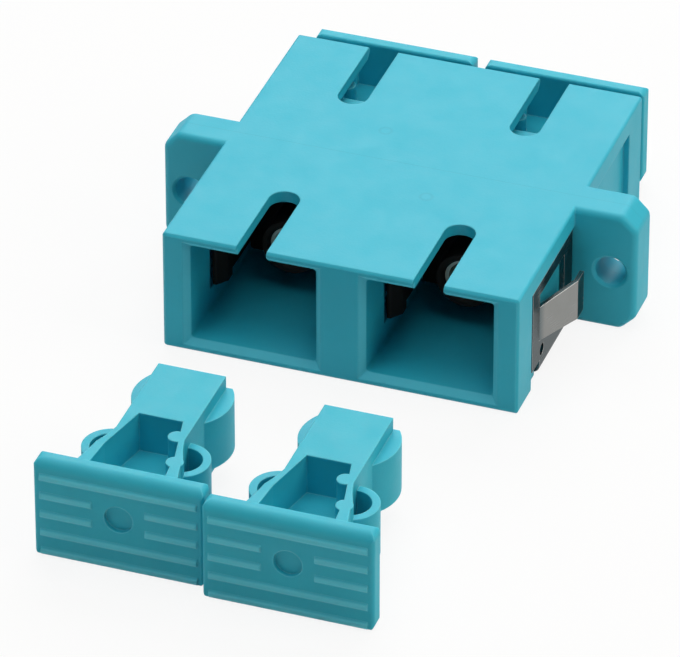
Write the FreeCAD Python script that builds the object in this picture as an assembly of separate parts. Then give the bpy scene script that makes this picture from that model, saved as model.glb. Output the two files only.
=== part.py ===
import FreeCAD, Part
import math
import os

from FreeCAD import Vector

# Duplex flanged SC fibre adapter with panel clip and dust caps, in millimetres.
# Origin: centre of the underside at mid-length. +X right, -Y front, +Z up.

# Ports and the housing round them
PORT_PITCH = 12.7
PORT_WIDTH = 9.1
PORT_HEIGHT = 7.5
PORT_CORNER = 0.25
MOUTH_CHAMFER = 0.45
SIDE_WALL = 1.9
TOP_WALL = 0.85
BODY_LENGTH = 27.8
BODY_EDGE = 0.22
MOUTH_EDGE = 0.18
KEYWAY_WIDTH = 2.2
KEYWAY_LENGTH = 7.8

# Mounting flange, half of it on each moulding
FLANGE_OVERHANG = 4.5
FLANGE_THICKNESS = 3.3
FLANGE_CHAMFER = 1.1
FLANGE_EDGE = 0.7
FLANGE_RIM = 0.45
HOLE_INSET = 1.9
HOLE_DIAMETER = 2.2
HOLE_CHAMFER = 0.2

# Recess that takes the panel clip
CLIP_RECESS_DEPTH = 0.45
CLIP_RECESS_SETBACK = 2.95
CLIP_RECESS_TOP = 1.4
CLIP_STRAP_MARGIN = 0.2

# Split alignment sleeve and the moulding that carries it
SLEEVE_BORE = 2.5
SLEEVE_WALL = 0.35
SLEEVE_LENGTH = 11.4
SLEEVE_SLIT = 0.5
SLEEVE_CLEARANCE = 0.05
BARREL_WALL = 0.4
BARREL_LIP = 0.3
BARREL_LIP_CLEARANCE = 0.25
BARREL_LEAD_IN = 0.2
SEAT_DEPTH = 1.5
SEAT_WALL_RELIEF = 0.4
SEAT_CLEARANCE = 0.05

# Latch arms
LATCH_SETBACK = 4.5
LATCH_ARM_THICKNESS = 0.6
LATCH_ARM_HEIGHT = 3.8
LATCH_HOOK_LENGTH = 1.65
LATCH_HOOK_LAND = 0.85
LATCH_HOOK_RISE = 0.3
LATCH_TIP_THICKNESS = 0.3
LATCH_TIP_ROUND = 0.12
LATCH_WALL_GAP = 0.05
LATCH_FLEX_ROOM = 0.9
LATCH_ROOM_MARGIN = 0.3

# Dust caps
CAP_GAP = 0.84
CAP_HEIGHT = 7.5
CAP_PLATE = 1.3
CAP_CORNER = 0.5
CAP_TOP_ROUND = 0.7
CAP_FRONT_ROUND = 0.25
CAP_EDGE = 0.2
CAP_STANDOFF = 2.1
CAP_RIB_PITCH = 1.46
CAP_RIB_FIRST = 0.4
CAP_RIB_COUNT = 5
CAP_RIB_HEIGHT = 0.16
CAP_RIB_WIDTH = 0.6
CAP_RIB_LAND = 0.24
CAP_RIB_MARGIN = 0.45
CAP_RIB_GAP = 3.75
CAP_RIB_SINK = 0.1
CAP_DIMPLE_DIAMETER = 2.0
CAP_DIMPLE_DEPTH = 0.35
CAP_PLUG_RAISE = 0.3
CAP_BLOCK_WIDTH = 4.8
CAP_BLOCK_HEIGHT = 5.9
CAP_BLOCK_LENGTH = 6.1
CAP_BLOCK_EDGE = 0.15
CAP_BOSS_HEIGHT = 3.9
CAP_BOSS_FROM_END = 2.0
CAP_BOSS_CLEARANCE = 0.15
CAP_BORE_CLEARANCE = 0.2
CAP_BORE_END_ROOM = 0.55
CAP_WALL = 0.85
CAP_FOOT_WALL = 0.96
CAP_ELBOW_WALL = 0.6
CAP_FOOT_SPREAD = 1.25
CAP_BEND_SPREAD = 0.65
CAP_WALL_BEND = 2.8
CAP_WALL_FLARE = 4.8
CAP_WALL_BOW = 0.06
CAP_BEAD_RADIUS = 0.6
CAP_BEAD_SINK = 0.22
CAP_BEAD_FROM_BLOCK = 1.76
CAP_FLOOR = 1.1
CAP_FLOOR_DROP = 3.0
CAP_LOOP_RADIUS = 2.0
CAP_LOOP_WALL = 0.55
CAP_LOOP_CLEARANCE = 0.1
CAP_LOOP_FROM_PLATE = 3.95

# The front caps are pulled out: they lie this far in front of the mouths and this far off their ports
FRONT_CAP_AWAY = {"left": 25.9, "right": 26.85}
FRONT_CAP_ASIDE = {"left": 0.15, "right": -0.45}

# Stainless panel clip
CLIP_SHEET = 0.3
CLIP_GAP = 0.05
CLIP_BEND = 0.3
CLIP_END_GAP = 0.55
CLIP_FLANGE_GAP = 0.1
CLIP_TOP_GAP = 0.25
CLIP_STRAP_WIDTH = 6.95
CLIP_STRIP_BOTTOM = 1.2
CLIP_STRIP_WIDTH = 1.5
CLIP_WINDOW_MARGIN = 1.75
CLIP_WINDOW_TOP_MARGIN = 0.95
CLIP_WINDOW_BOTTOM = 2.85
TONGUE_TOP_DROP = 1.0
TONGUE_ROOT_HEIGHT = 2.7
TONGUE_TIP_HEIGHT = 3.1
TONGUE_RUN = 4.0
TONGUE_SPREAD = 1.45
TONGUE_END = 1.3
CLIP_HOLE_DIAMETER = 0.9
CLIP_HOLE_INSET = 0.4
CLIP_HOLE_DROP = 1.0

# Modelling aids: cutters run past the faces they open, and parts of one moulding run into each other
PAST = 1.0
MERGE = 0.3

# Sizes that follow from the ones above
BODY_WIDTH = PORT_PITCH + PORT_WIDTH + 2 * SIDE_WALL
BODY_HEIGHT = PORT_HEIGHT + 2 * TOP_WALL
HALF_LENGTH = BODY_LENGTH / 2
AXIS_Z = BODY_HEIGHT / 2
FLANGE_SPAN = BODY_WIDTH + 2 * FLANGE_OVERHANG
HOLE_X = FLANGE_SPAN / 2 - HOLE_INSET
HALF_FLANGE = FLANGE_THICKNESS / 2
RECESS_Y = HALF_LENGTH - CLIP_RECESS_SETBACK
RECESS_TOP_Z = BODY_HEIGHT - CLIP_RECESS_TOP
CLIP_SEAT_X = BODY_WIDTH / 2 - CLIP_RECESS_DEPTH
CLIP_OUTER_X = CLIP_SEAT_X + CLIP_GAP + CLIP_SHEET
CLIP_TOP_Z = RECESS_TOP_Z - CLIP_TOP_GAP
CLIP_WINDOW_TOP_Z = CLIP_TOP_Z - CLIP_WINDOW_TOP_MARGIN
CLIP_FRONT_Y = RECESS_Y - CLIP_END_GAP
CLIP_BACK_Y = HALF_FLANGE + CLIP_FLANGE_GAP
CLIP_STRAP_Y = CLIP_BACK_Y + CLIP_STRAP_WIDTH
SLEEVE_OUTER = SLEEVE_BORE + 2 * SLEEVE_WALL
BARREL_BORE = SLEEVE_OUTER + 2 * SLEEVE_CLEARANCE
BARREL_OUTER = BARREL_BORE + 2 * BARREL_WALL
BARREL_TIP = SLEEVE_LENGTH / 2 + SLEEVE_CLEARANCE + BARREL_LIP
LATCH_TIP = HALF_LENGTH - LATCH_SETBACK
LATCH_OUTER_X = PORT_WIDTH / 2 - LATCH_WALL_GAP
LATCH_INNER_X = LATCH_OUTER_X - LATCH_ARM_THICKNESS
LATCH_CATCH = LATCH_TIP - LATCH_HOOK_LENGTH
HOOK_X = LATCH_INNER_X - LATCH_HOOK_RISE
CAP_WIDTH = PORT_PITCH - CAP_GAP
CAP_BOSS_RADIUS = HOOK_X - CAP_BOSS_CLEARANCE
CAP_BOSS_REACH = math.sqrt(CAP_BOSS_RADIUS**2 - CAP_BLOCK_WIDTH**2 / 4)
CAP_INNER_PLATE_Y = HALF_LENGTH + CAP_STANDOFF
CAP_BOSS_Y = LATCH_CATCH - CAP_BOSS_REACH - CAP_BOSS_CLEARANCE
CAP_END_Y = CAP_BOSS_Y - CAP_BOSS_FROM_END
CAP_LENGTH = CAP_INNER_PLATE_Y + CAP_PLATE - CAP_END_Y
CAP_PLUG_Z = CAP_HEIGHT / 2 + CAP_PLUG_RAISE
CAP_HOME_Z = AXIS_Z - CAP_PLUG_Z
PORT_SIDES = {"left": -PORT_PITCH / 2, "right": PORT_PITCH / 2}


def box(x_range, y_range, z_range):
    size = [high - low for low, high in (x_range, y_range, z_range)]
    return Part.makeBox(*size, Vector(x_range[0], y_range[0], z_range[0]))


def centred(width):
    return (-width / 2, width / 2)


# Flat face from a start point and steps: (x, y) is a line, ((x, y), (x, y)) an arc through the first.
def flat_face(start, *steps):
    edges = []
    here = Vector(*start, 0)
    for step in steps:
        if isinstance(step[0], tuple):
            middle, end = (Vector(*point, 0) for point in step)
            edges.append(Part.Arc(here, middle, end).toShape())
        else:
            end = Vector(*step, 0)
            edges.append(Part.makeLine(here, end))
        here = end
    if not here.isEqual(Vector(*start, 0), 1e-6):
        edges.append(Part.makeLine(here, Vector(*start, 0)))
    return Part.Face(Part.Wire(edges))


# Step to the end point along an arc that bows by the given height to the left of the way there.
def bowed(start, end, bow):
    run = math.dist(start, end)
    across = ((start[1] - end[1]) / run, (end[0] - start[0]) / run)
    middle = tuple((a + b) / 2 + bow * side for a, b, side in zip(start, end, across))
    return (middle, end)


def rounded_rectangle(width, height, radius):
    return rounded_outline(centred(width), centred(height), (radius,) * 4)


# Rectangle with a radius for each corner, anticlockwise from the lowest left.
def rounded_outline(x_range, y_range, radii):
    steps = []
    for (sx, sy), radius in zip(((-1, -1), (1, -1), (1, 1), (-1, 1)), radii):
        corner_x = x_range[0] if sx < 0 else x_range[1]
        corner_y = y_range[0] if sy < 0 else y_range[1]
        on_x = (corner_x - sx * radius, corner_y)
        on_y = (corner_x, corner_y - sy * radius)
        tuck = radius * (1 - math.sqrt(0.5))
        middle = (corner_x - sx * tuck, corner_y - sy * tuck)
        first, second = (on_y, on_x) if sx == sy else (on_x, on_y)
        steps += [first, (middle, second)]
    return flat_face(steps[0], *steps[1:])


# Extrude a face drawn in X and Z along Y.
def extrude_y(face, y_range, x=0, z=0):
    solid = face.extrude(Vector(0, 0, y_range[1] - y_range[0]))
    solid.rotate(Vector(), Vector(1, 0, 0), 90)
    solid.translate(Vector(x, y_range[1], z))
    return solid


def extrude_z(face, z_range):
    solid = face.extrude(Vector(0, 0, z_range[1] - z_range[0]))
    solid.translate(Vector(0, 0, z_range[0]))
    return solid


# Extrude a face drawn in Y and Z along X.
def extrude_x(face, x_range):
    solid = face.extrude(Vector(0, 0, x_range[1] - x_range[0]))
    solid.rotate(Vector(), Vector(1, 1, 1), 120)
    solid.translate(Vector(x_range[0], 0, 0))
    return solid


def rod_y(diameter, y_range, x=0, z=0):
    length = y_range[1] - y_range[0]
    return Part.makeCylinder(diameter / 2, length, Vector(x, y_range[0], z), Vector(0, 1, 0))


def cone_y(diameters, y_range, x=0, z=0):
    start, end = (diameter / 2 for diameter in diameters)
    length = y_range[1] - y_range[0]
    return Part.makeCone(start, end, length, Vector(x, y_range[0], z), Vector(0, 1, 0))


# Tapered rectangular opening between two sections.
def rectangular_taper(width, height, grow, y_range, x, z):
    sections = []
    for y, extra in zip(y_range, (grow, 0)):
        half_w = width / 2 + extra
        half_h = height / 2 + extra
        corners = ((-half_w, -half_h), (half_w, -half_h), (half_w, half_h), (-half_w, half_h))
        points = [Vector(x + dx, y, z + dz) for dx, dz in corners]
        sections.append(Part.makePolygon(points + points[:1]))
    return Part.makeLoft(sections, True)


def mirrored_x(shape):
    return shape.mirror(Vector(), Vector(1, 0, 0))


def turned_round(shape):
    copy = shape.copy()
    copy.rotate(Vector(), Vector(0, 0, 1), 180)
    return copy


def placed(shape, x, y, z):
    copy = shape.copy()
    copy.translate(Vector(x, y, z))
    return copy


def fillet_where(solid, radius, wanted):
    edges = [edge for edge in solid.Edges if wanted(edge)]
    return solid.makeFillet(radius, edges) if edges else solid


def runs_along(edge, axis):
    if not isinstance(edge.Curve, Part.Line):
        return False
    direction = edge.Curve.Direction
    return abs(abs(getattr(direction, axis)) - 1) < 1e-6


# ---- Housing: two like mouldings joined at mid-length

def housing_block():
    section = rounded_rectangle(BODY_WIDTH, BODY_HEIGHT, BODY_EDGE)
    block = extrude_y(section, (-HALF_LENGTH, 0), z=AXIS_Z)
    rim = [edge for edge in block.Edges if edge.BoundBox.YMax < -HALF_LENGTH + 1e-6]
    return block.makeChamfer(MOUTH_EDGE, rim)


# Ear on the right, run into the body's side, with its corners bevelled and its rim rounded.
def flange_ear():
    root = BODY_WIDTH / 2 - MERGE
    tip = FLANGE_SPAN / 2
    outline = flat_face(
        (root, 0),
        (tip - FLANGE_CHAMFER, 0),
        (tip, FLANGE_CHAMFER),
        (tip, BODY_HEIGHT - FLANGE_CHAMFER),
        (tip - FLANGE_CHAMFER, BODY_HEIGHT),
        (root, BODY_HEIGHT),
    )
    ear = extrude_y(outline, (-HALF_FLANGE, 0))

    def end_corner(edge):
        return runs_along(edge, "y") and edge.BoundBox.XMin > BODY_WIDTH / 2

    def front_rim(edge):
        box_of = edge.BoundBox
        return box_of.YMax < -HALF_FLANGE + 1e-6 and box_of.XMax > BODY_WIDTH / 2

    ear = fillet_where(ear, FLANGE_EDGE, end_corner)
    return fillet_where(ear, FLANGE_RIM, front_rim)


def flange_hole(x):
    hole = rod_y(HOLE_DIAMETER, (-HALF_FLANGE, 0), x, AXIS_Z)
    rim = cone_y(
        (HOLE_DIAMETER + 2 * HOLE_CHAMFER, HOLE_DIAMETER),
        (-HALF_FLANGE, -HALF_FLANGE + HOLE_CHAMFER),
        x,
        AXIS_Z,
    )
    return hole.fuse(rim)


def port_cavity(x):
    mouth_y = (-HALF_LENGTH, -HALF_LENGTH + MOUTH_CHAMFER)
    section = rounded_rectangle(PORT_WIDTH, PORT_HEIGHT, PORT_CORNER)
    tunnel = extrude_y(section, (-HALF_LENGTH, 0), x, AXIS_Z)
    lead_in = rectangular_taper(PORT_WIDTH, PORT_HEIGHT, MOUTH_CHAMFER, mouth_y, x, AXIS_Z)
    half_seat = PORT_WIDTH / 2 + SEAT_WALL_RELIEF
    half_room = PORT_WIDTH / 2 + LATCH_FLEX_ROOM
    seat_z = centred(PORT_HEIGHT + SEAT_WALL_RELIEF)
    room_z = centred(LATCH_ARM_HEIGHT + 2 * LATCH_ROOM_MARGIN)
    seat = box((x - half_seat, x + half_seat), (-SEAT_DEPTH, 0), seat_z)
    arm_room = box(
        (x - half_room, x + half_room), (-LATCH_TIP - LATCH_ROOM_MARGIN, -SEAT_DEPTH), room_z
    )
    return [tunnel, lead_in, placed(seat, 0, 0, AXIS_Z), placed(arm_room, 0, 0, AXIS_Z)]


def keyway(x):
    end_y = -HALF_LENGTH + KEYWAY_LENGTH
    half = KEYWAY_WIDTH / 2
    outline = flat_face(
        (x - half, -HALF_LENGTH - PAST),
        (x + half, -HALF_LENGTH - PAST),
        (x + half, end_y - half),
        ((x, end_y), (x - half, end_y - half)),
    )
    return extrude_z(outline, (AXIS_Z, BODY_HEIGHT + PAST))


def clip_recess():
    cheek = box((CLIP_SEAT_X, BODY_WIDTH), (-RECESS_Y, -HALF_FLANGE), (-PAST, RECESS_TOP_Z))
    strap_y = (-CLIP_STRAP_Y - CLIP_STRAP_MARGIN, -HALF_FLANGE)
    strap = box(centred(BODY_WIDTH + PAST), strap_y, (-PAST, CLIP_RECESS_DEPTH))
    return [cheek, mirrored_x(cheek), strap]


# Lower corner of the recess, which the folded sheet passes round.
def under_clip_bend(edge):
    middle = edge.CenterOfMass
    on_corner = abs(abs(middle.x) - CLIP_SEAT_X) < 1e-6 and abs(middle.z - CLIP_RECESS_DEPTH) < 1e-6
    return on_corner and runs_along(edge, "y")


def housing_half():
    ear = flange_ear()
    solid = housing_block().fuse([ear, mirrored_x(ear)])
    cutters = clip_recess()
    for x in PORT_SIDES.values():
        cutters += port_cavity(x)
        cutters.append(keyway(x))
    for x in (-HOLE_X, HOLE_X):
        cutters.append(flange_hole(x))
    solid = solid.cut(cutters).removeSplitter()
    return fillet_where(solid, CLIP_BEND, under_clip_bend)


# ---- Latch housing: flange, sleeve barrel and two hooked arms, at the port's own axis

def latch_arm():
    root_y = -SEAT_DEPTH + MERGE
    ramp_end = -LATCH_TIP
    catch_y = -LATCH_CATCH
    arm = flat_face(
        (LATCH_OUTER_X, root_y),
        (LATCH_INNER_X, root_y),
        (LATCH_INNER_X, catch_y),
        (HOOK_X, catch_y),
        (HOOK_X, catch_y - LATCH_HOOK_LAND),
        (LATCH_OUTER_X - LATCH_TIP_THICKNESS, ramp_end),
        (LATCH_OUTER_X, ramp_end),
    )
    solid = extrude_z(arm, centred(LATCH_ARM_HEIGHT))

    def at_tip(edge):
        return edge.BoundBox.YMax < ramp_end + 1e-6 and runs_along(edge, "z")

    return fillet_where(solid, LATCH_TIP_ROUND, at_tip)


def latch_housing():
    plate_x = centred(PORT_WIDTH + 2 * SEAT_WALL_RELIEF - 2 * SEAT_CLEARANCE)
    plate_z = centred(PORT_HEIGHT + SEAT_WALL_RELIEF - 2 * SEAT_CLEARANCE)
    plate = box(plate_x, (-SEAT_DEPTH + SEAT_CLEARANCE, 0), plate_z)
    barrel = rod_y(BARREL_OUTER, (-BARREL_TIP, 0))
    arm = latch_arm()
    solid = plate.fuse([barrel, arm, mirrored_x(arm)])
    sleeve_room = rod_y(BARREL_BORE, (-SLEEVE_LENGTH / 2 - SLEEVE_CLEARANCE, 0))
    way = SLEEVE_BORE + 2 * BARREL_LIP_CLEARANCE
    ferrule_way = rod_y(way, (-BARREL_TIP, 0))
    lead_in = cone_y((way + 2 * BARREL_LEAD_IN, way), (-BARREL_TIP, -BARREL_TIP + BARREL_LEAD_IN))
    return solid.cut([sleeve_room, ferrule_way, lead_in]).removeSplitter()


def alignment_sleeve():
    span = centred(SLEEVE_LENGTH)
    tube = rod_y(SLEEVE_OUTER, span).cut(rod_y(SLEEVE_BORE, span))
    slit = box(centred(SLEEVE_SLIT), span, (0, SLEEVE_OUTER))
    return tube.cut(slit)


# ---- Panel clip: one folded sheet that wraps the underside, with a sprung tongue on each side

def clip_shell():
    base_z = CLIP_RECESS_DEPTH - CLIP_GAP - CLIP_SHEET
    span = (-CLIP_FRONT_Y, -CLIP_BACK_Y)
    across = centred(2 * CLIP_OUTER_X + 2 * PAST)
    outer = extrude_y(channel(CLIP_OUTER_X, base_z, CLIP_BEND + CLIP_SHEET), span)
    inner = extrude_y(channel(CLIP_OUTER_X - CLIP_SHEET, base_z + CLIP_SHEET, CLIP_BEND), span)
    notch = box(across, (-CLIP_FRONT_Y - PAST, -CLIP_STRAP_Y), (-PAST, CLIP_STRIP_BOTTOM))
    window = box(
        across,
        (-CLIP_FRONT_Y + CLIP_STRIP_WIDTH, -CLIP_BACK_Y - CLIP_WINDOW_MARGIN),
        (CLIP_WINDOW_BOTTOM, CLIP_WINDOW_TOP_Z),
    )
    hole = Part.makeCylinder(
        CLIP_HOLE_DIAMETER / 2,
        across[1] - across[0],
        Vector(across[0], -CLIP_STRAP_Y + CLIP_HOLE_INSET, CLIP_WINDOW_BOTTOM - CLIP_HOLE_DROP),
        Vector(1, 0, 0),
    )
    return outer.cut([inner, notch, window, hole])


# Upright channel, open at the top, with rounded lower corners.
def channel(half_width, low, radius):
    tuck = radius * (1 - math.sqrt(0.5))
    return flat_face(
        (-half_width, CLIP_TOP_Z),
        (-half_width, low + radius),
        ((-half_width + tuck, low + tuck), (-half_width + radius, low)),
        (half_width - radius, low),
        ((half_width - tuck, low + tuck), (half_width, low + radius)),
        (half_width, CLIP_TOP_Z),
    )


# The tongue leaves the window's front edge, slants outward, then runs parallel to the side.
def clip_tongue():
    inner_x = CLIP_OUTER_X - CLIP_SHEET
    top_z = CLIP_WINDOW_TOP_Z - TONGUE_TOP_DROP
    root_y = -CLIP_FRONT_Y + CLIP_STRIP_WIDTH
    tip_y = root_y + TONGUE_RUN
    side = CLIP_SHEET * math.tan(math.atan2(TONGUE_SPREAD, TONGUE_RUN) / 2)
    path = flat_face(
        (inner_x, root_y - MERGE),
        (CLIP_OUTER_X, root_y - MERGE),
        (CLIP_OUTER_X, root_y),
        (CLIP_OUTER_X + TONGUE_SPREAD, tip_y),
        (CLIP_OUTER_X + TONGUE_SPREAD, tip_y + TONGUE_END),
        (inner_x + TONGUE_SPREAD, tip_y + TONGUE_END),
        (inner_x + TONGUE_SPREAD, tip_y + side),
        (inner_x, root_y + side),
    )
    low_z = top_z - TONGUE_TIP_HEIGHT
    blade = extrude_z(path, (low_z, top_z))
    below = flat_face(
        (root_y - PAST, low_z - PAST),
        (tip_y, low_z - PAST),
        (tip_y, low_z),
        (root_y, top_z - TONGUE_ROOT_HEIGHT),
        (root_y - PAST, top_z - TONGUE_ROOT_HEIGHT),
    )
    return blade.cut(extrude_x(below, (0, BODY_WIDTH)))


def panel_clip():
    tongue = clip_tongue()
    return clip_shell().fuse([tongue, mirrored_x(tongue)]).removeSplitter()


# ---- Dust cap in its own frame: outer face of the plate at y = 0, plug along +Y, underside at z = 0

# The front edges are rounded, most of all along the top, and the dimple is level with the plug.
def cap_plate():
    span = centred(CAP_WIDTH)
    thickness = (0, CAP_PLATE)
    front = extrude_y(rounded_rectangle(CAP_WIDTH, CAP_HEIGHT, CAP_CORNER), thickness, z=CAP_HEIGHT / 2)
    side_radii = (CAP_FRONT_ROUND, CAP_EDGE, CAP_EDGE, CAP_TOP_ROUND)
    side = extrude_x(rounded_outline(thickness, (0, CAP_HEIGHT), side_radii), span)
    plan_radii = (CAP_FRONT_ROUND, CAP_FRONT_ROUND, CAP_EDGE, CAP_EDGE)
    plan = extrude_z(rounded_outline(span, thickness, plan_radii), (0, CAP_HEIGHT))
    dimple = rod_y(CAP_DIMPLE_DIAMETER, (0, CAP_DIMPLE_DEPTH), z=CAP_PLUG_Z)
    return front.common(side).common(plan).cut(dimple)


# Grip ribs across the plate; the ones level with the dimple stop short of it.
def cap_ribs():
    reach = CAP_WIDTH / 2 - CAP_RIB_MARGIN
    foot = CAP_RIB_WIDTH / 2
    land = CAP_RIB_LAND / 2
    ribs = []
    for row in range(CAP_RIB_COUNT):
        z = CAP_RIB_FIRST + row * CAP_RIB_PITCH
        profile = flat_face(
            (CAP_RIB_SINK, z - foot),
            (CAP_RIB_SINK, z + foot),
            (0, z + foot),
            (-CAP_RIB_HEIGHT, z + land),
            (-CAP_RIB_HEIGHT, z - land),
            (0, z - foot),
        )
        broken = abs(z - CAP_PLUG_Z) < CAP_DIMPLE_DIAMETER / 2
        spans = [(-reach, -CAP_RIB_GAP / 2), (CAP_RIB_GAP / 2, reach)] if broken else [(-reach, reach)]
        ribs += [extrude_x(profile, span) for span in spans]
    return ribs


# Half plan of the plug's outside, from the plate to the inner end.
def plug_side():
    half = CAP_BLOCK_WIDTH / 2
    foot = (half + CAP_FOOT_SPREAD, CAP_PLATE)
    bend = (half + CAP_BEND_SPREAD, CAP_PLATE + CAP_WALL_BEND)
    flare = (half, CAP_PLATE + CAP_WALL_FLARE)
    return [foot, bowed(foot, bend, CAP_WALL_BOW), bowed(bend, flare, CAP_WALL_BOW), (half, CAP_LENGTH)]


# Block at the inner end, then two side walls that flare out to the plate round an open pocket.
def cap_plug():
    low = CAP_PLUG_Z - CAP_BLOCK_HEIGHT / 2
    high = CAP_PLUG_Z + CAP_BLOCK_HEIGHT / 2
    half_plan = flat_face((0, CAP_PLATE), *plug_side(), (0, CAP_LENGTH))
    side = extrude_z(half_plan, (low, high))
    solid = side.fuse(mirrored_x(side)).removeSplitter()
    floor_top = high - CAP_FLOOR_DROP
    floor_under = floor_top - CAP_FLOOR
    for z_range in ((floor_top, high), (low, floor_under)):
        solid = solid.cut(extrude_z(pocket_plan(), z_range))
    inner_end = [edge for edge in solid.Edges if edge.BoundBox.YMin > CAP_LENGTH - 1e-6]
    solid = solid.makeChamfer(CAP_BLOCK_EDGE, inner_end)
    return solid.fuse(cap_beads(floor_under, high))


def pocket_plan():
    half = CAP_BLOCK_WIDTH / 2
    foot = half + CAP_FOOT_SPREAD - CAP_FOOT_WALL
    elbow = half + CAP_BEND_SPREAD - CAP_ELBOW_WALL
    waist = half - CAP_WALL
    bend_y = CAP_PLATE + CAP_WALL_BEND
    block_y = CAP_LENGTH - CAP_BLOCK_LENGTH
    right = [(foot, CAP_PLATE), (elbow, bend_y), (waist, block_y)]
    left = [(-x, y) for x, y in reversed(right)]
    return flat_face(*right, *left)


# Two upright beads that stiffen one wall of the pocket.
def cap_beads(low, high):
    half = CAP_BLOCK_WIDTH / 2
    near_block = (half - CAP_WALL, CAP_LENGTH - CAP_BLOCK_LENGTH - CAP_BEAD_FROM_BLOCK)
    near_plate = (half + CAP_BEND_SPREAD - CAP_ELBOW_WALL, CAP_PLATE + CAP_WALL_BEND - CAP_BEAD_RADIUS)
    return [
        Part.makeCylinder(CAP_BEAD_RADIUS, high - low, Vector(x + CAP_BEAD_SINK, y, low))
        for x, y in (near_block, near_plate)
    ]


# Round boss that the latch hooks close behind.
def cap_boss():
    z_low = CAP_PLUG_Z - CAP_BOSS_HEIGHT / 2
    boss_y = CAP_LENGTH - CAP_BOSS_FROM_END
    boss = Part.makeCylinder(CAP_BOSS_RADIUS, CAP_BOSS_HEIGHT, Vector(0, boss_y, z_low))
    keep = box(
        centred(2 * CAP_BOSS_RADIUS),
        (CAP_LENGTH - CAP_BLOCK_LENGTH, CAP_LENGTH),
        (z_low, z_low + CAP_BOSS_HEIGHT),
    )
    return boss.common(keep)


# Sprung loops that rub the side walls of the port. Each stops at the inside of its wall.
def cap_loops():
    z_low = CAP_PLUG_Z - CAP_BOSS_HEIGHT / 2
    centre_x = PORT_WIDTH / 2 - CAP_LOOP_CLEARANCE - CAP_LOOP_RADIUS
    centre = Vector(centre_x, CAP_PLATE + CAP_LOOP_FROM_PLATE, z_low)
    disc = Part.makeCylinder(CAP_LOOP_RADIUS, CAP_BOSS_HEIGHT, centre)
    eye = Part.makeCylinder(CAP_LOOP_RADIUS - CAP_LOOP_WALL, CAP_BOSS_HEIGHT, centre)
    pocket = extrude_z(pocket_plan(), (z_low, z_low + CAP_BOSS_HEIGHT))
    loop = disc.cut([eye, pocket])
    return [loop, mirrored_x(loop)]


def dust_cap():
    solid = cap_plate().fuse(cap_ribs() + [cap_plug(), cap_boss()] + cap_loops())
    bore_end = CAP_LENGTH - (BARREL_TIP - CAP_END_Y + CAP_BORE_END_ROOM)
    bore = rod_y(BARREL_OUTER + 2 * CAP_BORE_CLEARANCE, (bore_end, CAP_LENGTH), z=CAP_PLUG_Z)
    return solid.cut(bore).removeSplitter()


def build():
    nodes = {}
    front = housing_half()
    nodes["housing_front"] = front
    nodes["housing_rear"] = turned_round(front)
    nodes["panel_clip"] = panel_clip()
    latch = latch_housing()
    sleeve = alignment_sleeve()
    cap = dust_cap()
    rear_cap = turned_round(cap)
    home_y = CAP_INNER_PLATE_Y + CAP_PLATE
    for side, x in PORT_SIDES.items():
        nodes[f"latch_housing_front_{side}"] = placed(latch, x, 0, AXIS_Z)
        nodes[f"latch_housing_rear_{side}"] = placed(turned_round(latch), x, 0, AXIS_Z)
        nodes[f"alignment_sleeve_{side}"] = placed(sleeve, x, 0, AXIS_Z)
        nodes[f"rear_dust_cap_{side}"] = placed(rear_cap, x, home_y, CAP_HOME_Z)
        away = -HALF_LENGTH - FRONT_CAP_AWAY[side]
        nodes[f"front_dust_cap_{side}"] = placed(cap, x + FRONT_CAP_ASIDE[side], away, 0)
    return nodes


os.makedirs("parts", exist_ok=True)
for name, shape in build().items():
    shape.exportStep(f"parts/{name}.step")
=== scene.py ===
import math

import bpy
from mathutils import Matrix, Vector


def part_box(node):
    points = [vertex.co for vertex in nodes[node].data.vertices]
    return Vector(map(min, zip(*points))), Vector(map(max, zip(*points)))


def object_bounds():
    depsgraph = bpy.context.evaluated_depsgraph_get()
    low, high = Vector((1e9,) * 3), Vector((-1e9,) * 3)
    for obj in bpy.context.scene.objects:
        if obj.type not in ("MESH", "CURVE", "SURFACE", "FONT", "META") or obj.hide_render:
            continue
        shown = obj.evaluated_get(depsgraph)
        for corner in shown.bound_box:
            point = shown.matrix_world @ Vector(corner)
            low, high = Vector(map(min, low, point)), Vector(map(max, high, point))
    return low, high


# Look of a flanged SC fibre adapter with its panel clip and dust caps. Everything is in metres,
# and a name that ends in Mm holds millimetres.
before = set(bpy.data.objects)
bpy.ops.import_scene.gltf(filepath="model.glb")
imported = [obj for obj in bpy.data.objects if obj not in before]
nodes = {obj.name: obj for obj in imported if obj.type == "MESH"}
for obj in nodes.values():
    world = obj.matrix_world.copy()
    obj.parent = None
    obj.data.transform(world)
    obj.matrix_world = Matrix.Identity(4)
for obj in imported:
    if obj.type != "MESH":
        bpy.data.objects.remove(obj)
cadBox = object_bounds()
mm = 0.001
noiseSpan = (0.3, 0.7)  # nearly every value of a noise texture lies between these,
pairSpan = (0.7, 1.3)  # and nearly every sum of two such values between these
print("frame loaded:", len(nodes), "CAD nodes")


# Linear red, green, blue and alpha of an sRGB hex value.
def hexColour(text):
    parts = [int(text[i:i + 2], 16) / 255 for i in (0, 2, 4)]
    return [c / 12.92 if c <= 0.04045 else ((c + 0.055) / 1.055) ** 2.4 for c in parts] + [1.0]


# Adds a node. A setting is an input's name or number, or an attribute.
# A link comes from (node, output), or from a node's first output.
def addNode(tree, kind, settings=None, links=None):
    node = tree.nodes.new(kind)
    for key, value in (settings or {}).items():
        if isinstance(key, int) or key in node.inputs:
            node.inputs[key].default_value = value
        else:
            setattr(node, key, value)
    for key, source in (links or {}).items():
        output = source[0].outputs[source[1]] if isinstance(source, tuple) else source.outputs[0]
        tree.links.new(output, node.inputs[key])
    return node


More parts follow.
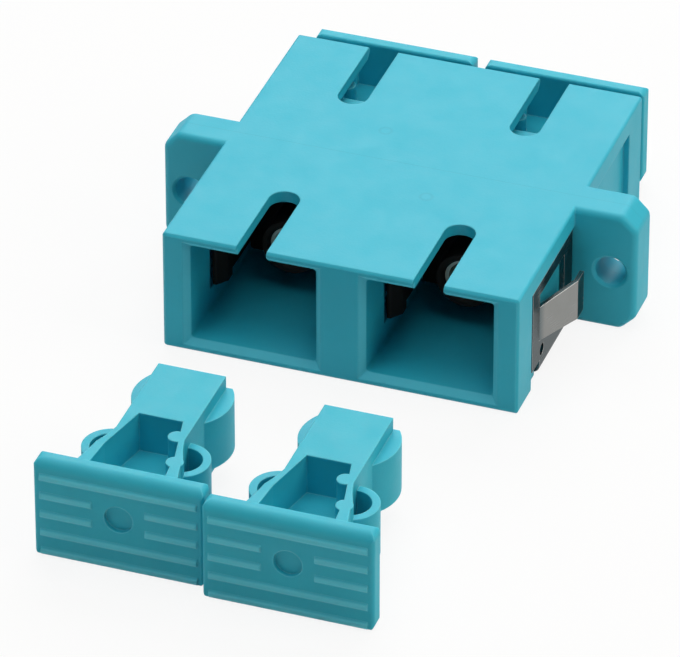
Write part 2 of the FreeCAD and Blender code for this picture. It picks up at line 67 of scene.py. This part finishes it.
def newMaterial(name):
    material = bpy.data.materials.new(name)
    material.use_nodes = True
    tree = material.node_tree
    tree.nodes.clear()
    return material, tree, addNode(tree, "ShaderNodeTexCoord")


def finishMaterial(tree, shader):
    addNode(tree, "ShaderNodeOutputMaterial", None, {"Surface": shader})


# How many repeats of a pattern fit in a metre when one is this many millimetres long.
def perMetre(lengthMm):
    return 1 / (lengthMm * mm)


# Normal rounded over the edges, and a mask that is 1 on such an edge and 0 on the flat beside it.
# Where flush is 1, the edge stays sharp and its mask stays 0.
def softEdges(tree, look, flush=None):
    plain = addNode(tree, "ShaderNodeNewGeometry")
    bevel = addNode(tree, "ShaderNodeBevel", {"samples": 6, "Radius": look["edgeMm"] * mm})
    if flush:
        mixed = addNode(
            tree, "ShaderNodeMix", {"data_type": "VECTOR"}, {0: flush, 4: bevel, 5: (plain, "Normal")}
        )
        bevel = addNode(tree, "ShaderNodeVectorMath", {"operation": "NORMALIZE"}, {0: (mixed, 1)})
    agree = addNode(
        tree, "ShaderNodeVectorMath", {"operation": "DOT_PRODUCT"}, {0: bevel, 1: (plain, "Normal")}
    )
    edges = addNode(
        tree,
        "ShaderNodeMapRange",
        {"From Min": 1.0, "From Max": 1.0 - look["edgeTurn"]},
        {"Value": (agree, "Value")},
    )
    return bevel, edges


# 1 for what the eye meets straight, in a reflection or through something clear, and 0 for other light.
def seenByEye(tree):
    path = addNode(tree, "ShaderNodeLightPath")
    direct = addNode(
        tree,
        "ShaderNodeMath",
        {"operation": "MAXIMUM"},
        {0: (path, "Is Camera Ray"), 1: (path, "Is Glossy Ray")},
    )
    return addNode(
        tree,
        "ShaderNodeMath",
        {"operation": "MAXIMUM"},
        {0: direct, 1: (path, "Is Transmission Ray")},
    )


# Injection-moulded thermoplastic: a satin skin from a spark-eroded tool, faint flow clouding and edges
# lightened, partly as wear and partly as painted highlight. The skin's grain is finer than a tenth of a
# millimetre, and is drawn coarser to show.
# addFeatures may give masks for flush edges, sunk marks and places lit by painted highlight.
def mouldedPlastic(name, look, addFeatures=None):
    material, tree, place = newMaterial(name)
    position = {"Vector": (place, "Object")}
    cloud = addNode(
        tree, "ShaderNodeTexNoise", {"Scale": perMetre(look["cloudMm"]), "Detail": 3.0}, position
    )
    grain = addNode(
        tree, "ShaderNodeTexNoise", {"Scale": perMetre(look["grainMm"]), "Detail": 2.0}, position
    )
    scuff = addNode(
        tree,
        "ShaderNodeTexNoise",
        {"Scale": perMetre(look["scuffMm"]), "Detail": 6.0, "Roughness": 0.7},
        position,
    )
    features = addFeatures(tree, place) if addFeatures else {}
    bevel, edges = softEdges(tree, look, features.get("flush"))
    # Painted highlight: the places in this mask are lightened like the edges.
    if "paintedHighlight" in features:
        edges = addNode(
            tree, "ShaderNodeMath", {"operation": "MAXIMUM"}, {0: edges, 1: features["paintedHighlight"]}
        )
    body = addNode(
        tree,
        "ShaderNodeMix",
        {"data_type": "RGBA", 6: hexColour(look["deep"]), 7: hexColour(look["colour"])},
        {0: cloud},
    )
    # The edge colour is laid on the edges as wear and painted highlight.
    wornAndLit = addNode(tree, "ShaderNodeMath", {"operation": "MULTIPLY", 1: look["edgeWearAndHighlight"]}, {0: edges})
    shown = addNode(
        tree, "ShaderNodeMix", {"data_type": "RGBA", 7: hexColour(look["edge"])}, {0: wornAndLit, 6: (body, 2)}
    )
    rough = addNode(
        tree,
        "ShaderNodeMapRange",
        {
            "From Min": noiseSpan[0],
            "From Max": noiseSpan[1],
            "To Min": look["roughLow"],
            "To Max": look["roughHigh"],
        },
        {"Value": scuff},
    )
    height = addNode(
        tree, "ShaderNodeMath", {"operation": "MULTIPLY", 1: look["grainHeightMm"]}, {0: grain}
    )
    if "marks" in features:
        marks = features["marks"]
        shown = addNode(
            tree,
            "ShaderNodeMix",
            {"data_type": "RGBA", "blend_type": "MULTIPLY", 7: hexColour(look["grimeAndShade"])},
            {0: marks, 6: (shown, 2)},
        )
        sunk = addNode(
            tree, "ShaderNodeMath", {"operation": "MULTIPLY", 1: -look["markDepthMm"]}, {0: marks}
        )
        height = addNode(tree, "ShaderNodeMath", {"operation": "ADD"}, {0: height, 1: sunk})
    bump = addNode(
        tree, "ShaderNodeBump", {"Strength": 1.0, "Distance": mm}, {"Height": height, "Normal": bevel}
    )
    shader = addNode(
        tree,
        "ShaderNodeBsdfPrincipled",
        {
            "IOR": look["ior"],
            "Specular IOR Level": look["specular"],
            "Subsurface Weight": look["depth"],
            "Subsurface Radius": look["depthSpread"],
            "Subsurface Scale": look["depthMm"] * mm,
        },
        {"Base Color": (shown, 2), "Roughness": rough, "Normal": bump},
    )
    finishMaterial(tree, shader)
    return material


# PBT body: aqua masterbatch, tight satin, with a witness line where the two mouldings are joined.
housingLook = {
    "colour": "27B4CA",
    "deep": "25AFC6",
    # the edge colour is wear and painted highlight on the edges, and painted highlight on the mouth
    # chamfers
    "edge": "5CCDE0",
    "grimeAndShade": "E4ECEE",
    "cloudMm": 5.0,
    "grainMm": 0.16,
    "scuffMm": 2.2,
    "edgeMm": 0.16,
    "edgeTurn": 0.12,  # 1 less the cosine of the turn at which a rounded edge is fully worn
    "edgeWearAndHighlight": 0.55,
    "roughLow": 0.48,
    "roughHigh": 0.58,
    "grainHeightMm": 0.007,
    "markDepthMm": 0.004,
    "ior": 1.5,
    "specular": 0.4,
    "depth": 0.12,  # share of the light that comes back from under the skin
    "depthMm": 0.25,
    "depthSpread": (0.1, 0.6, 0.7),  # red dies soonest in it
    "jointMm": 0.04,
    "flushEdges": (2.2, 1.4),  # how many edge radii from the joint the rounding ends and is gone
    "gateMm": (2.7, -3.58),
    "gateRadiusMm": 0.42,
    "gateRimMm": 0.16,
    "gateShade": 0.6,
    "portPitchMm": 12.7,
    "mouthMm": (9.1, 7.5),
    "mouthHeightMm": 4.6,
    "mouthEdgeMm": 0.5,
    "mouthSkipMm": 0.03,  # leaves the flat end face without the painted highlight
}


# Painted highlight on the chamfers round the four mouths, for the light that falls on them from the front
# and above.
def paintedMouthHighlight(tree, axes):
    look = housingLook
    edge = look["mouthEdgeMm"] * mm
    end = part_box("housing_rear")[1].y
    across = addNode(tree, "ShaderNodeMath", {"operation": "ABSOLUTE"}, {0: (axes, "X")})
    along = addNode(tree, "ShaderNodeMath", {"operation": "ABSOLUTE"}, {0: (axes, "Y")})
    reach = [size / 2 * mm + edge for size in look["mouthMm"]]
    # Each band is (where it is measured, its middle, half its width), and a place in all three gets the
    # painted highlight.
    bands = (
        (across, look["portPitchMm"] / 2 * mm, reach[0]),
        ((axes, "Z"), look["mouthHeightMm"] * mm, reach[1]),
        (along, end, edge),
    )
    short = end - look["mouthSkipMm"] * mm
    mask = addNode(tree, "ShaderNodeMath", {"operation": "LESS_THAN", 1: short}, {0: along})
    for source, centre, halfWidth in bands:
        band = addNode(
            tree, "ShaderNodeMath", {"operation": "COMPARE", 1: centre, 2: halfWidth}, {0: source}
        )
        mask = addNode(tree, "ShaderNodeMath", {"operation": "MULTIPLY"}, {0: mask, 1: band})
    return mask


# The joint at mid-length, flush and barely seen, the two gate vestiges, one on each moulding, and the
# painted highlight round the mouths.
def housingFeatures(tree, place):
    look = housingLook
    axes = addNode(tree, "ShaderNodeSeparateXYZ", None, {0: (place, "Object")})
    away = addNode(tree, "ShaderNodeMath", {"operation": "ABSOLUTE"}, {0: (axes, "Y")})
    flushFrom, flushTo = [radii * look["edgeMm"] * mm for radii in look["flushEdges"]]
    flush = addNode(
        tree, "ShaderNodeMapRange", {"From Min": flushFrom, "From Max": flushTo}, {"Value": away}
    )
    marks = addNode(
        tree, "ShaderNodeMapRange", {"From Min": look["jointMm"] * mm, "From Max": 0.0}, {"Value": away}
    )
    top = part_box("housing_front")[1].z
    for sign in (1, -1):
        centre = Vector((sign * look["gateMm"][0] * mm, sign * look["gateMm"][1] * mm, top))
        apart = addNode(
            tree, "ShaderNodeVectorMath", {"operation": "DISTANCE", 1: centre}, {0: (place, "Object")}
        )
        offRim = addNode(
            tree,
            "ShaderNodeMath",
            {"operation": "SUBTRACT", 1: look["gateRadiusMm"] * mm},
            {0: (apart, "Value")},
        )
        fromRim = addNode(tree, "ShaderNodeMath", {"operation": "ABSOLUTE"}, {0: offRim})
        ring = addNode(
            tree,
            "ShaderNodeMapRange",
            {"From Min": look["gateRimMm"] * mm, "From Max": 0.0, "To Max": look["gateShade"]},
            {"Value": fromRim},
        )
        marks = addNode(tree, "ShaderNodeMath", {"operation": "MAXIMUM"}, {0: marks, 1: ring})
    return {"flush": flush, "marks": marks, "paintedHighlight": paintedMouthHighlight(tree, axes)}


# Dust caps: softer polyethylene, a little translucent at thin walls, the crowns of its grip ribs lit pale
# by painted highlight.
capLook = dict(
    housingLook,
    colour="2AB7CB",
    deep="27B1C6",
    # the edge colour is wear and painted highlight on the edges, and painted highlight on the rib crowns
    edge="6AD2E0",
    cloudMm=3.5,
    roughLow=0.48,
    roughHigh=0.62,
    depth=0.5,
    depthMm=0.5,
    edgeMm=0.14,
    edgeWearAndHighlight=0.75,
    ribMm=0.15,
    ribCrownMm=0.03,  # the top of a rib, where the painted highlight is full
)


# Painted highlight on the ribs, laid where they stand proudest on the plate of a cap, which is its front
# end, or the rear end of a rear cap.
def paintedRibHighlight(capName):
    look = capLook
    low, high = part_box(capName)
    outward = -1 if "front" in capName else 1
    face = low.y if outward < 0 else high.y

    def addFeatures(tree, place):
        axes = addNode(tree, "ShaderNodeSeparateXYZ", None, {0: (place, "Object")})
        sunk = addNode(
            tree,
            "ShaderNodeMath",
            {"operation": "MULTIPLY_ADD", 1: -outward, 2: outward * face},
            {0: (axes, "Y")},
        )
        paintedHighlight = addNode(
            tree,
            "ShaderNodeMapRange",
            {"From Min": look["ribMm"] * mm, "From Max": look["ribCrownMm"] * mm},
            {"Value": sunk},
        )
        return {"paintedHighlight": paintedHighlight}

    return addFeatures


# Latch housings: black glass-filled PBT, duller than the body.
latchLook = dict(
    housingLook,
    colour="100F0D",
    deep="0B0B0A",
    edge="1D1C18",
    cloudMm=2.5,
    roughLow=0.58,
    roughHigh=0.72,
    specular=0.15,
    depth=0.0,
    edgeMm=0.08,
    edgeWearAndHighlight=0.25,
)


# Rolled stainless spring strip, stamped and folded: rolling lines along the strip and bright sheared
# edges. The strap that lies in the body is painted darker than the tongues, as painted shade and painted
# darker reflection.
clipLook = {
    "colour": "9A9B99",
    "dull": "8A8B88",
    # the strap colour is painted shade and painted darker reflection, where the strap lies under the
    # tongues and beside the body
    "paintedStrapShade": "6E7779",
    "edge": "C4C4C2",
    # the crease colour of the steel is painted shade, laid where other surfaces lie close to it
    "grimeAndShade": "4A5052",
    "grazing": "BCBCBC",  # tint of the sheen where the steel is seen at a flat angle
    "lineMm": (6.0, 6.0, 0.09),  # rolling lines are finer than this, and are drawn coarser to show
    "lineHeightMm": 0.003,
    "stainMm": 1.6,
    "creaseShadeMm": 1.0,
    "creaseShadeSpan": (0.3, 0.8),  # how open a place is where the painted crease shade is full, and where it is gone
    "roughLow": 0.14,
    "roughHigh": 0.30,
    "edgeRough": 0.5,
    "edgeMm": 0.06,
    "edgeTurn": 0.25,
    "strapMm": 12.7,  # the tongues are what stands further out than this
    # over this width the painted strap shade fades out to the tongue colour
    "shadeFadeMm": 0.2,
}


def stampedSpringSteel(name, look):
    material, tree, place = newMaterial(name)
    squeeze = addNode(
        tree,
        "ShaderNodeMapping",
        {"Scale": [perMetre(length) for length in look["lineMm"]]},
        {"Vector": (place, "Object")},
    )
    rolled = addNode(
        tree, "ShaderNodeTexNoise", {"Scale": 1.0, "Detail": 4.0, "Roughness": 0.65}, {"Vector": squeeze}
    )
    stain = addNode(
        tree,
        "ShaderNodeTexNoise",
        {"Scale": perMetre(look["stainMm"]), "Detail": 4.0},
        {"Vector": (place, "Object")},
    )
    axes = addNode(tree, "ShaderNodeSeparateXYZ", None, {0: (place, "Object")})
    out = addNode(tree, "ShaderNodeMath", {"operation": "ABSOLUTE"}, {0: (axes, "X")})
    # Painted shade: 0 on the strap, which takes the darker strap colour, and 1 on the tongues.
    tongue = addNode(
        tree,
        "ShaderNodeMapRange",
        {"From Min": look["strapMm"] * mm, "From Max": (look["strapMm"] + look["shadeFadeMm"]) * mm},
        {"Value": out},
    )
    bevel, edges = softEdges(tree, look)
    # Painted shade in the creases: the steel is darkened where other surfaces lie close.
    openness = addNode(
        tree, "ShaderNodeAmbientOcclusion", {"samples": 8, "Distance": look["creaseShadeMm"] * mm}
    )
    outOfCreaseShade = addNode(
        tree,
        "ShaderNodeMapRange",
        {"From Min": look["creaseShadeSpan"][0], "From Max": look["creaseShadeSpan"][1]},
        {"Value": (openness, "AO")},
    )
    shown = addNode(
        tree,
        "ShaderNodeMix",
        {"data_type": "RGBA", 6: hexColour(look["dull"]), 7: hexColour(look["colour"])},
        {0: stain},
    )
    # Each layer is (mask, colour, which side of the mask it shows on); the other side keeps what is there.
    # The strap and crease colours are painted shade; the edge colour is the bright sheared metal.
    for mask, colour, side in ((tongue, "paintedStrapShade", 0), (outOfCreaseShade, "grimeAndShade", 0), (edges, "edge", 1)):
        shown = addNode(
            tree,
            "ShaderNodeMix",
            {"data_type": "RGBA", 6 + side: hexColour(look[colour])},
            {0: mask, 7 - side: (shown, 2)},
        )
    both = addNode(tree, "ShaderNodeMath", {"operation": "ADD"}, {0: rolled, 1: stain})
    rough = addNode(
        tree,
        "ShaderNodeMapRange",
        {
            "From Min": pairSpan[0],
            "From Max": pairSpan[1],
            "To Min": look["roughLow"],
            "To Max": look["roughHigh"],
        },
        {"Value": both},
    )
    rough = addNode(
        tree, "ShaderNodeMix", {"data_type": "FLOAT", 3: look["edgeRough"]}, {0: edges, 2: rough}
    )
    height = addNode(
        tree, "ShaderNodeMath", {"operation": "MULTIPLY", 1: look["lineHeightMm"]}, {0: rolled}
    )
    bump = addNode(
        tree, "ShaderNodeBump", {"Strength": 1.0, "Distance": mm}, {"Height": height, "Normal": bevel}
    )
    shader = addNode(
        tree,
        "ShaderNodeBsdfPrincipled",
        {"Metallic": 1.0, "Specular Tint": hexColour(look["grazing"])},
        {"Base Color": (shown, 2), "Roughness": rough, "Normal": bump},
    )
    finishMaterial(tree, shader)
    return material


# Ground zirconia ceramic, ivory darkened as painted shade for the shade it lies in deep in the ports:
# nearly polished, with faint ground rings round the sleeve.
sleeveLook = {
    "colour": "B3AC9D",
    "deep": "A39B8A",
    "cloudMm": 1.2,
    "ringMm": 0.754,  # real grinding marks are far closer, and are drawn coarser to show
    "ringHeightMm": 0.002,
    "roughLow": 0.12,
    "roughHigh": 0.22,
    "ior": 2.15,
}
waveRate = 20 / math.tau  # how many rings a wave texture of scale 1 draws in a metre


def groundCeramic(name, look):
    material, tree, place = newMaterial(name)
    position = {"Vector": (place, "Object")}
    cloud = addNode(
        tree, "ShaderNodeTexNoise", {"Scale": perMetre(look["cloudMm"]), "Detail": 3.0}, position
    )
    rings = addNode(
        tree,
        "ShaderNodeTexWave",
        {
            "bands_direction": "Y",
            "Scale": perMetre(look["ringMm"]) / waveRate,
            "Distortion": 1.5,
            "Detail": 2.0,
        },
        position,
    )
    shown = addNode(
        tree,
        "ShaderNodeMix",
        {"data_type": "RGBA", 6: hexColour(look["deep"]), 7: hexColour(look["colour"])},
        {0: cloud},
    )
    rough = addNode(
        tree,
        "ShaderNodeMapRange",
        {"To Min": look["roughLow"], "To Max": look["roughHigh"]},
        {"Value": rings},
    )
    height = addNode(
        tree, "ShaderNodeMath", {"operation": "MULTIPLY", 1: look["ringHeightMm"]}, {0: rings}
    )
    bump = addNode(tree, "ShaderNodeBump", {"Strength": 1.0, "Distance": mm}, {"Height": height})
    shader = addNode(
        tree,
        "ShaderNodeBsdfPrincipled",
        {"IOR": look["ior"]},
        {"Base Color": (shown, 2), "Roughness": rough, "Normal": bump},
    )
    finishMaterial(tree, shader)
    return material


# Which finish each node wears, by the first word here that is in its name.
finishes = {
    "latch_housing": mouldedPlastic("mouldedGlassFilledPbtBlack", latchLook),
    "alignment_sleeve": groundCeramic("groundZirconia", sleeveLook),
    "panel_clip": stampedSpringSteel("stampedSpringSteel", clipLook),
    "housing": mouldedPlastic("mouldedPbtAqua", housingLook, housingFeatures),
}
# Each dust cap has a finish of its own, because its ribs lie at its own place.
for name in nodes:
    if "dust_cap" in name:
        finishes[name] = mouldedPlastic("mouldedPolyethyleneAqua_" + name, capLook, paintedRibHighlight(name))
print("materials made")

for name, node in nodes.items():
    material = next(finish for word, finish in finishes.items() if word in name)
    for slot in node.material_slots:
        slot.material = material
print("finishes assigned")


# Pale painted table top, seen as nearly white. It still takes the part's shadow.
floorLook = {
    "size": 1.6,
    "dropMm": 0.02,
    "colour": "F0F0EE",
    "cloudMm": 30.0,
    "roughLow": 0.75,
    "roughHigh": 0.9,
    "glow": 0.88,
}


def buildFloor(look):
    half = look["size"] / 2
    mesh = bpy.data.meshes.new("tableTop")
    signs = ((-1, -1), (1, -1), (1, 1), (-1, 1))
    corners = [(x * half, y * half, -look["dropMm"] * mm) for x, y in signs]
    mesh.from_pydata(corners, [], [(0, 1, 2, 3)])
    floor = bpy.data.objects.new("tableTop", mesh)
    bpy.context.scene.collection.objects.link(floor)
    material, tree, place = newMaterial("paintedTableWhite")
    cloud = addNode(
        tree, "ShaderNodeTexNoise", {"Scale": perMetre(look["cloudMm"])}, {"Vector": (place, "Object")}
    )
    rough = addNode(
        tree,
        "ShaderNodeMapRange",
        {"To Min": look["roughLow"], "To Max": look["roughHigh"]},
        {"Value": cloud},
    )
    matte = addNode(
        tree,
        "ShaderNodeBsdfPrincipled",
        {"Base Color": hexColour(look["colour"]), "Specular IOR Level": 0.0},
        {"Roughness": rough},
    )
    glow = addNode(tree, "ShaderNodeEmission", {"Color": (1, 1, 1, 1), "Strength": 1.0})
    share = addNode(
        tree, "ShaderNodeMath", {"operation": "MULTIPLY", 1: look["glow"]}, {0: seenByEye(tree)}
    )
    both = addNode(tree, "ShaderNodeMixShader", None, {0: share, 1: matte, 2: glow})
    finishMaterial(tree, both)
    mesh.materials.append(material)


# White room beyond the table. The eye and the part's own gloss see it at strength 1, and all other
# light comes from the lamps.
roomLook = {"colour": "FFFFFF", "light": 0.0}


def buildRoom(look):
    world = bpy.data.worlds.new("studio")
    world.use_nodes = True
    bpy.context.scene.world = world
    tree = world.node_tree
    tree.nodes.clear()
    strength = addNode(
        tree, "ShaderNodeMapRange", {"To Min": look["light"], "To Max": 1.0}, {"Value": seenByEye(tree)}
    )
    sky = addNode(
        tree, "ShaderNodeBackground", {"Color": hexColour(look["colour"])}, {"Strength": strength}
    )
    addNode(tree, "ShaderNodeOutputWorld", None, {"Surface": sky})


# Softboxes by bearing round the part (0 is straight in front, 90 to its right) and height above the
# table, both in degrees, with distance and size in metres and power in watts.
softboxes = {
    "overhead": dict(bearing=0, height=86, away=0.55, size=(0.5, 0.5), power=1.7, tint="FFFFFF"),
    "behind": dict(bearing=190, height=42, away=0.60, size=(0.6, 0.4), power=2.42, tint="FFFFFF"),
    "rightSide": dict(bearing=95, height=35, away=0.50, size=(0.3, 0.3), power=0.87, tint="FFF6EC"),
    "leftFront": dict(bearing=-40, height=32, away=0.60, size=(0.35, 0.25), power=0.25, tint="F4FAFF"),
}


# Unit vector from the part towards a bearing and a height.
def bearingVector(bearing, height):
    a = math.radians(bearing)
    e = math.radians(height)
    return Vector((math.sin(a) * math.cos(e), -math.cos(a) * math.cos(e), math.sin(e)))


def buildSoftboxes(boxes, target):
    for name, box in boxes.items():
        lamp = bpy.data.lights.new(name, "AREA")
        lamp.shape = "RECTANGLE"
        lamp.size, lamp.size_y = box["size"]
        lamp.energy = box["power"]
        lamp.color = hexColour(box["tint"])[:3]
        holder = bpy.data.objects.new(name, lamp)
        bpy.context.scene.collection.objects.link(holder)
        out = bearingVector(box["bearing"], box["height"])
        holder.location = target + out * box["away"]
        holder.rotation_euler = out.to_track_quat("Z", "Y").to_euler()


buildFloor(floorLook)
buildRoom(roomLook)
buildSoftboxes(softboxes, (cadBox[0] + cadBox[1]) / 2)
print("floor, room and lamps placed")

# Long lens from the front right, above the table; right and up slide it across its own view.
cameraLook = {
    "bearing": 19.35,
    "height": 33.58,
    "awayMm": 501.07,
    "rightMm": -4.54,
    "upMm": -3.73,
    "lensMm": 380.1,
    "sensorMm": 36.0,
    "clip": (0.05, 20.0),
}


def buildCamera(look):
    data = bpy.data.cameras.new("camera")
    data.lens = look["lensMm"]
    data.sensor_width = look["sensorMm"]
    data.clip_start, data.clip_end = look["clip"]
    camera = bpy.data.objects.new("camera", data)
    bpy.context.scene.collection.objects.link(camera)
    back = bearingVector(look["bearing"], look["height"])
    right = bearingVector(look["bearing"] + 90, 0)
    up = back.cross(right)
    stand = (back * look["awayMm"] + right * look["rightMm"] + up * look["upMm"]) * mm
    turn = Matrix((right, up, back)).transposed().to_4x4()
    camera.matrix_world = Matrix.Translation(stand) @ turn
    bpy.context.scene.camera = camera


buildCamera(cameraLook)
bpy.context.scene.view_settings.view_transform = "Standard"
print("camera placed")
